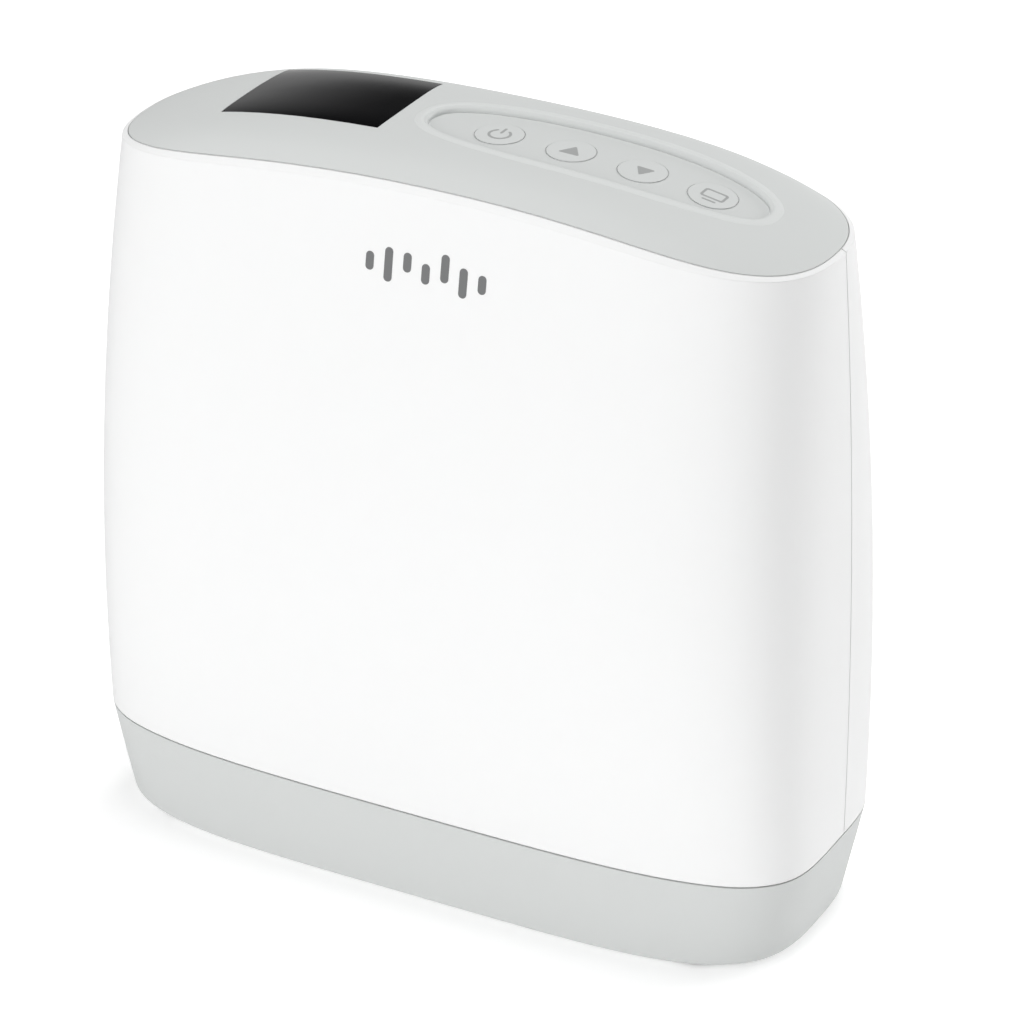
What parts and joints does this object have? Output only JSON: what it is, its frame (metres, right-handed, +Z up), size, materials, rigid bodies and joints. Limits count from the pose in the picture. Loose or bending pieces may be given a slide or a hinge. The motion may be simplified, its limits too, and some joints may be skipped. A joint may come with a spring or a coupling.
{
  "type": "portable oxygen concentrator",
  "caption": "Compact portable oxygen concentrator: domed white casing on a gray slide-off battery base, gray top with dark display and round keys in an oval recess.",
  "frame": {"origin": "centre of the footprint on the plane the rubber feet rest on", "axes": "+X to the right seen from the front, +Y to the back, +Z up; the battery pack slides off towards -X, the oxygen outlet points -X"},
  "size_m": [0.2102, 0.087, 0.2092],
  "materials": {
    "casing_white": "moulded, satin",
    "casing_gray": "moulded, fine texture",
    "key_gray": "moulded, satin, printed gray symbols",
    "window_black": "polished, dark tinted",
    "inner_black": "moulded",
    "inner_gray": "moulded",
    "board_green": "solder mask",
    "foam_gray": "open-cell foam",
    "rubber_black": "moulded",
    "silicone_clear": "translucent silicone",
    "cast_alloy": "die cast, as cast",
    "alloy_tube": "drawn, clear anodised",
    "steel": "ground",
    "screw_steel": "zinc plated",
    "copper": "drawn copper",
    "brass": "turned",
    "cell_blue": "shrink sleeve",
    "zeolite": "bead bed",
    "rotor_black": "moulded"
  },
  "bodies": {
    "casing": {"front_shell": "casing_white", "rear_shell": "casing_white", "top_panel": "casing_gray", "display_window": "window_black", "control_board": "board_green", "display_module": "inner_black", "intake_filter": "foam_gray", "filter_tray": "inner_gray", "port_bezel": "casing_gray", "outlet_nozzle": "brass", "power_inlet": "inner_black", "casing_floor": "inner_gray", "dock_connector": "brass", "shell_screws": "screw_steel", "chassis_frame": "inner_gray", "crankcase": "cast_alloy", "crankcase_cover": "cast_alloy", "crank_bearings": "steel", "cylinders": "alloy_tube", "cylinder_heads": "cast_alloy", "inner_screws": "screw_steel", "motor_housing": "steel", "motor_stator": "copper", "compressor_mounts": "rubber_black", "fan_frame": "inner_black", "cooling_coil": "copper", "intake_muffler": "inner_black", "sieve_tubes": "alloy_tube", "sieve_caps": "inner_black", "sieve_media": "zeolite", "sieve_springs": "steel", "valve_manifold": "cast_alloy", "solenoid_coils": "inner_black", "product_tank": "inner_gray", "oxygen_sensor": "inner_gray", "main_board": "board_green", "hoses": "silicone_clear"},
    "battery_pack": {"battery_case": "casing_gray", "battery_lid": "casing_gray", "battery_cells": "cell_blue", "cell_holder": "inner_black", "battery_board": "board_green", "pack_screws": "screw_steel", "rubber_feet": "rubber_black", "latch_spring": "steel"},
    "latch": {"battery_latch": "inner_gray"},
    "power_key": {"key_power": "key_gray"},
    "flow_up_key": {"key_flow_up": "key_gray"},
    "flow_down_key": {"key_flow_down": "key_gray"},
    "screen_key": {"key_screen": "key_gray"},
    "intake_cover": {"intake_cover": "casing_white"},
    "fan": {"fan_rotor": "rotor_black"},
    "crank": {"crankshaft": "steel", "motor_rotor": "steel"},
    "left_piston": {"piston_left": "cast_alloy"},
    "right_piston": {"piston_right": "cast_alloy"},
    "valve_a": {"valve_plunger_a": "steel"},
    "valve_b": {"valve_plunger_b": "steel"},
    "valve_c": {"valve_plunger_c": "steel"}
  },
  "joints": [
    {"name": "battery_slide", "type": "slide", "parent": "casing", "child": "battery_pack", "axis": [-1, 0, 0], "range_m": [0, 0.21]},
    {"name": "latch_press", "type": "slide", "parent": "battery_pack", "child": "latch", "axis": [0, 0, -1], "range_m": [0, 0.0025], "stiffness_N_per_m": 400, "springref_m": -0.001, "deforming": ["latch_spring"]},
    {"name": "power_key_press", "type": "slide", "parent": "casing", "child": "power_key", "axis": [-0.0073, 0, -1], "range_m": [0, 0.0006], "stiffness_N_per_m": 800, "springref_m": -0.0005},
    {"name": "flow_up_key_press", "type": "slide", "parent": "casing", "child": "flow_up_key", "axis": [-0.0418, 0.0002, -0.9991], "range_m": [0, 0.0006], "stiffness_N_per_m": 800, "springref_m": -0.0005},
    {"name": "flow_down_key_press", "type": "slide", "parent": "casing", "child": "flow_down_key", "axis": [-0.0941, 0.0008, -0.9956], "range_m": [0, 0.0006], "stiffness_N_per_m": 800, "springref_m": -0.0005},
    {"name": "screen_key_press", "type": "slide", "parent": "casing", "child": "screen_key", "axis": [-0.1832, 0.002, -0.9831], "range_m": [0, 0.0006], "stiffness_N_per_m": 800, "springref_m": -0.0005},
    {"name": "cover_pull", "type": "slide", "parent": "casing", "child": "intake_cover", "axis": [0, 1, 0], "range_m": [0, 0.06]},
    {"name": "fan_spin", "type": "hinge", "parent": "casing", "child": "fan", "pos_m": [-0.048, 0.0175, 0.141], "axis": [0, 1, 0], "continuous": true},
    {"name": "crank_spin", "type": "hinge", "parent": "casing", "child": "crank", "pos_m": [-0.046, 0, 0.07], "axis": [0, 1, 0], "continuous": true},
    {"name": "left_piston_orbit", "type": "hinge", "parent": "crank", "child": "left_piston", "pos_m": [-0.048, -0.0125, 0.07], "axis": [0, 1, 0], "continuous": true},
    {"name": "right_piston_orbit", "type": "hinge", "parent": "crank", "child": "right_piston", "pos_m": [-0.044, -0.0025, 0.07], "axis": [0, 1, 0], "continuous": true},
    {"name": "valve_a_stroke", "type": "slide", "parent": "casing", "child": "valve_a", "axis": [0, -1, 0], "range_m": [0, 0.0015], "stiffness_N_per_m": 300, "springref_m": -0.0005},
    {"name": "valve_b_stroke", "type": "slide", "parent": "casing", "child": "valve_b", "axis": [0, -1, 0], "range_m": [0, 0.0015], "stiffness_N_per_m": 300, "springref_m": -0.0005},
    {"name": "valve_c_stroke", "type": "slide", "parent": "casing", "child": "valve_c", "axis": [0, -1, 0], "range_m": [0, 0.0015], "stiffness_N_per_m": 300, "springref_m": -0.0005}
  ],
  "couplings": [
    {"joint": "left_piston_orbit", "follows": "crank_spin", "ratio": -1},
    {"joint": "right_piston_orbit", "follows": "crank_spin", "ratio": -1}
  ]
}
